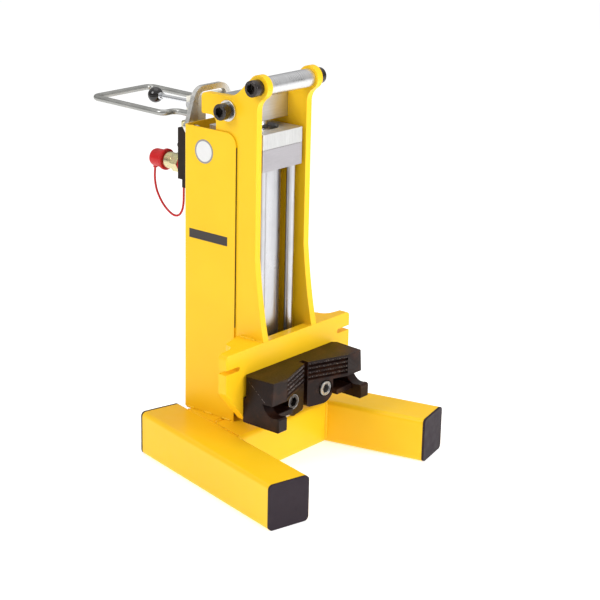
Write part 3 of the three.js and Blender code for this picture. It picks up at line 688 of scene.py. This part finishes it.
def ring(name, at, axis, inner, outer, height, body, slot, look=None, round_off=0.0004):
    """A flat ring or, with no inner radius, a disc, standing on a face."""
    profile = [(outer, -RING_SUNK), (outer, height - round_off), (outer - round_off, height)]
    if inner:
        profile += [(inner + round_off, height), (inner, height - round_off), (inner, -RING_SUNK)]
    else:
        profile += [(outer * 0.5, height)]
    rings = stand([circle(r, h, RING_SIDES) for r, h in profile], at, axis)
    place(name, *skin(rings, joined=bool(inner)), body, slot, look)


def box_points(corner, opposite):
    (x0, y0, z0), (x1, y1, z1) = corner, opposite
    return [(x, y, z) for x in (x0, x1) for y in (y0, y1) for z in (z0, z1)]


def slab(name, corner, opposite, body, slot, look=None, edge=0.0001):
    """A panel between two corners, with all its edges rounded."""
    place(name, box_points(corner, opposite), BOX_FACES, body, slot, look, edge)


# ---- weld beads ----
BEAD_STEP = 0.0009
BEAD_PITCH = 0.0036
BEAD_SIDES = 10
# shares of a bead's radius: between drops, a drop's rise, its random part; at an end, and the growth from it
DROP_LOW, DROP_RISE, DROP_SHAKE = 0.84, 0.14, 0.05
END_SHARE, END_GROWTH = 0.45, 0.25
TUBE_ROUND = 0.009
# the length of each short bead beside the cover, and where they start as shares of the cover's depth
COVER_BEAD = 0.022
COVER_BEADS_AT = (0.05, 0.42, 0.78)
shake = random.Random(7)


def weld(name, points, body, radius):
    """A weld bead: overlapping drops along a run of straight lines."""
    line = [Vector(p) for p in points]
    stations = []
    for a, b in zip(line, line[1:]):
        steps = max(2, round((b - a).length / BEAD_STEP))
        stations += [a.lerp(b, k / steps) for k in range(steps)]
    stations.append(line[-1])
    rings = []
    run = 0.0
    for k, at in enumerate(stations):
        before = stations[max(k - 1, 0)]
        ahead = stations[min(k + 1, len(stations) - 1)] - before
        run += (at - before).length
        wave = abs(math.cos(math.pi * run / BEAD_PITCH))
        swell = DROP_LOW + DROP_RISE * wave + shake.uniform(-DROP_SHAKE, DROP_SHAKE)
        taper = min(1.0, END_SHARE + END_GROWTH * min(k, len(stations) - 1 - k))
        rings += stand([circle(radius * swell * taper, 0, BEAD_SIDES)], at, ahead.normalized())
    place(name, *skin(rings), body, "yellow_paint")


def corner_of(node, towards):
    """The node's point that lies furthest along a direction."""
    return max((v.co for v in NODES[node].data.vertices), key=lambda p: p.dot(Vector(towards)))


def make_welds():
    front = corner_of("cross_tube_front", (0.2, -1, 0))
    rear = corner_of("cross_tube_rear", (0.2, 1, 0))
    _, (_, tube_back, top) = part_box("cross_tube_front")
    (inner, _, side_foot), (out, _, _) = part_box("side_plate_right")
    (_, cover_front, _), (cover_side, cover_back, _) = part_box("column_cover")
    (_, plate_front, _), (_, back, plate_top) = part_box("front_plate")
    (_, _, wing_foot), (wing_end, wing_back, shelf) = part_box("wing_gusset_right")

    def leg(at, inward):
        return [(at.x, at.y, 0.008), (at.x, at.y, top - TUBE_ROUND),
                (at.x + 0.001, at.y + inward * 0.003, top - 0.004),
                (at.x + 0.002, at.y + inward * TUBE_ROUND, top - 0.003)]

    def cover_bead(share):
        y = cover_front + share * (cover_back - cover_front)
        return [(cover_side, y, top + 0.001), (cover_side, y + COVER_BEAD, top + 0.001)]

    along_leg = [front + Vector((0.0035, TUBE_ROUND, 0)), rear + Vector((0.0035, -TUBE_ROUND, 0))]
    seam = tube_back + 0.00015
    # name, body, bead radius and the bead's line on the right side
    rows = [
        ("leg_front", "base", 0.0032, leg(front, 1)),
        ("leg_rear", "base", 0.0032, leg(rear, -1)),
        ("leg_top", "base", 0.0047, [(p.x, p.y, top - 0.0045) for p in along_leg]),
        ("tube_seam", "base", 0.0042, [(cover_side + 0.002, seam, top - 0.003), (0.104, seam, top - 0.003)]),
        *((f"cover_side_{k}", "base", 0.0028, cover_bead(at)) for k, at in enumerate(COVER_BEADS_AT, 1)),
        ("cover_rear", "base", 0.0028, [(0.022, cover_back - 0.001, top), (0.058, cover_back - 0.001, top)]),
        ("wing_top", "yoke", 0.0030, [(out + 0.0006, wing_back - 0.004, shelf),
                                      (out + 0.0006, back + 0.001, shelf)]),
        ("plate_outer", "yoke", 0.0022, [(out, back, plate_top), (out, plate_front + 0.003, plate_top)]),
        ("plate_inner", "yoke", 0.0022, [(inner, back, plate_top), (inner, plate_front + 0.003, plate_top)]),
        ("side_upright", "yoke", 0.0030, [(out, back + 0.001, side_foot + 0.012),
                                          (out, back + 0.001, wing_foot - 0.004)]),
        ("wing_under", "yoke", 0.0030, [(out + 0.006, back + 0.001, wing_foot),
                                        (wing_end - 0.012, back + 0.001, wing_foot)]),
    ]
    for name, body, radius, line in rows:
        weld(f"weld_{name}_right", line, body, radius)
        weld(f"weld_{name}_left", mirrored(line), body, radius)


# ---- the jaw's teeth, its worn edges with painted highlight, its shelves, and its screws' rims and sockets of painted shade ----
TOOTH_PITCH = 0.0052
TOOTH_HALF = 0.0021
TOOTH_RISE = 0.0018
TOOTH_ROWS = tuple(0.1875 + k * 0.009 for k in range(4))
# the foot and the tip of a tooth: how far out of the face, and its size along and up
TOOTH_ENDS = ((-0.0004, 1.0, 1.0), (0.0017, 0.25, 0.45))
# the V's face from its outer end to its middle: X, and how far in front of the jaw's back
VEE_START, VEE_END = (0.0905, 0.0712), (0.0065, 0.0411)
# the worn line's two ends, a line of painted highlight along the cheek's edge: how far in front of the jaw's
# back, and height
WORN_HIGHLIGHT_TOP, WORN_HIGHLIGHT_FOOT = (0.0135, 0.2110), (0.0552, 0.1771)
WORN_HIGHLIGHT_WIDTH, WORN_HIGHLIGHT_PROUD = 0.0005, 0.0002
JAW_SCREW_X, JAW_SCREW_Z = 0.0495, 0.1555
# name, depth behind the screw's face, inner and outer radius, look and rounding
JAW_SCREW_RINGS = (
    # the socket disc is painted shade: a dark disc on the floor of each hex socket, standing in for its
    # shadow
    ("socket", 0.0086, 0, 0.0070, "print_dark", 0.0002),
    ("screw_rim", 0.0002, 0.0137, 0.0146, "worn_steel", 0.0003),
)


def make_teeth():
    """Rows of small pyramids on the lands between the grooves of the V."""
    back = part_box("jaw_block")[1][1]
    start, end = (Vector((x, back - forward)) for x, forward in (VEE_START, VEE_END))
    count = int((end - start).length / TOOTH_PITCH)
    along = (end - start).normalized()
    away = Vector((-along.y, along.x))
    for side, name in reversed(SIDES):
        verts, faces = [], []
        for z in TOOTH_ROWS:
            for k in range(count):
                middle = start + along * (TOOTH_PITCH * (k + 0.5))
                rings = []
                for proud, length, height in TOOTH_ENDS:
                    centre = middle + away * proud
                    reach = along * (TOOTH_HALF * length)
                    rise = TOOTH_RISE * height
                    rings.append([(side * (centre + a * reach).x, (centre + a * reach).y, z + b * rise)
                                  for a, b in ((-1, -1), (1, -1), (1, 1), (-1, 1))])
                corners, sides = skin(rings)
                faces += shifted(sides, len(verts))
                verts += corners
        place(f"jaw_teeth_{name}", verts, faces, "yoke", "jaw_steel", "rubbed_steel_and_highlight")


def make_jaw_parts():
    (_, _, floor), (end, back, _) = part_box("jaw_block")
    for side, name in SIDES:
        slab(f"hook_shelf_{name}", (side * 0.067, back - 0.066, floor + 0.016),
             (side * (end - 0.020), back - 0.002, floor + 0.027), "yoke", "jaw_steel", edge=0.0012)
        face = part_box(f"jaw_screw_{name}")[0][1]
        for part, into, inner, outer, look, round_off in JAW_SCREW_RINGS:
            ring(f"jaw_{part}_{name}", (side * JAW_SCREW_X, face + into, JAW_SCREW_Z), (0, -1, 0),
                 inner, outer, 0.0006, "yoke", "dark_steel", look, round_off)


def make_worn_highlight_lines():
    """A bright line on the edge where each hook's cheek slopes away from the bar: worn steel, and a painted
    highlight of that edge.
    """
    _, (end, back, _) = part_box("jaw_block")
    for side, name in SIDES:
        x = side * (end + 0.00005)
        upper, lower = (Vector((x, back - forward, z)) for forward, z in (WORN_HIGHLIGHT_TOP, WORN_HIGHLIGHT_FOOT))
        run = lower - upper
        lift = Vector((0, run.z, -run.y)).normalized() * WORN_HIGHLIGHT_WIDTH
        out = Vector((side * WORN_HIGHLIGHT_PROUD, 0, 0))
        # a thin bright strip of painted highlight along the cheek's edge, standing in for the light caught
        # there, and also worn steel
        verts = [p + rise + depth for p in (upper, lower) for rise in (-lift, lift) for depth in (-out, out)]
        place(f"jaw_worn_highlight_edge_{name}", verts, BOX_FACES, "yoke", "jaw_steel", "rubbed_steel_and_highlight")


# ---- stickers, small screws, collars, marks and strips of painted shade ----
# the band's two corners on the cover's left face, and the disc's middle there, as (Y, Z)
BAND_LOW, BAND_HIGH = (-0.038, 0.443), (0.0605, 0.461)
DISC_AT = (0.0228, 0.6175)
# name, inner and outer radius, height, slot and look
DISC_RINGS = (
    ("cover_disc", 0, 0.0222, 0.0003, "lever_block_metal", "print_white"),
    ("cover_disc_rim", 0.0198, 0.0232, 0.0005, "zinc_plate", "print_grey"),
)
# head radius and height
SCREW_M6 = (0.005, 0.006)
SCREW_M5 = (0.0042, 0.005)
VALVE_SCREWS = ((-0.036, 0.606), (0.029, 0.606), (0.029, 0.550))
VALVE_TOP_SCREWS = ((0.004, 0.112), (0.028, 0.112))
LEVER_BLOCK_SCREWS = ((-0.038, 0.694), (0.010, 0.694), (0.036, 0.694))
# distance from one mark to the next, half its width, its height, and how far it stands out
MARK_PITCH, MARK_HALF, MARK_TALL, MARK_PROUD = 0.0046, 0.0010, 0.0007, 0.00015


def make_stickers():
    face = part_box("column_cover")[0][0]
    slab("cover_band", (face - 0.0003, *BAND_LOW), (face + 0.0001, *BAND_HIGH), "base", "black_plastic",
         "print_dark")
    for name, inner, outer, height, slot, look in DISC_RINGS:
        ring(name, (face, *DISC_AT), (-1, 0, 0), inner, outer, height, "base", slot, look, 0.0001)


def make_small_screws():
    _, (_, rear, roof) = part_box("valve_body")
    for k, (x, z) in enumerate(VALVE_SCREWS):
        turned_screw(f"valve_screw_{k + 1}", (x, rear, z), (0, 1, 0), *SCREW_M6, "base", "black_screw")
    for k, (x, y) in enumerate(VALVE_TOP_SCREWS):
        turned_screw(f"valve_top_screw_{k + 1}", (x, y, roof), (0, 0, 1), *SCREW_M6, "base", "black_screw")
    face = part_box("lever_block")[1][1]
    for k, (x, z) in enumerate(LEVER_BLOCK_SCREWS):
        turned_screw(f"lever_block_screw_{k + 1}", (x, face, z), (0, 1, 0), *SCREW_M5, "base", "zinc_plate")


def make_collars():
    low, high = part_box("control_knob")
    middle = ((low[0] + high[0]) / 2, low[1] - 0.0035, (low[2] + high[2]) / 2)
    ring("knob_nut", middle, (0, 1, 0), 0.0046, 0.0074, 0.0045, "lever", "chromed_rod")
    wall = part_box("loop_handle")[0][1] - 0.0002
    for side, name in SIDES:
        ring(f"handle_collar_{name}", (side * HANDLE_INNER, wall, HANDLE_Z), (0, 1, 0), 0.0060, 0.0095, 0.004,
             "base", "zinc_plate", round_off=0.0016)


def make_head_marks():
    """A row of small clamp marks along the joint of the cylinder head."""
    (left, front, _), (right, _, roof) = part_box("cylinder_head")
    top = roof - 0.0004
    verts, faces = [], []
    for k in range(int((right - left - 0.006) / MARK_PITCH)):
        x = left + 0.004 + k * MARK_PITCH
        faces += shifted(BOX_FACES, len(verts))
        verts += box_points((x - MARK_HALF, front - MARK_PROUD, top - MARK_TALL),
                            (x + MARK_HALF, front + MARK_PROUD, top))
    place("head_joint_marks", verts, faces, "base", "dark_steel", "print_dark")


def make_painted_shade_strips():
    """Dark strips of painted shade in the gaps between the cover's front edges and the yoke."""
    (cover_left, front, _), (_, _, top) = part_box("column_cover")
    outer = -cover_left - 0.0014
    inner = -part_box("side_plate_left")[0][0] + 0.0004
    for side, name in SIDES:
        # each strip is painted shade: a dark sheet standing in for the shadow in the gap
        slab(f"painted_shade_strip_{name}", (side * outer, front - 0.0006, 0.284),
             (side * inner, front + 0.012, top - 0.026), "base", "black_plastic", "print_dark")


make_camera()
make_stage()
make_lanyards()
finish_nodes()
make_handle()
make_stickers()
make_welds()
make_teeth()
make_small_screws()
make_collars()
make_jaw_parts()
make_worn_highlight_lines()
make_head_marks()
make_painted_shade_strips()
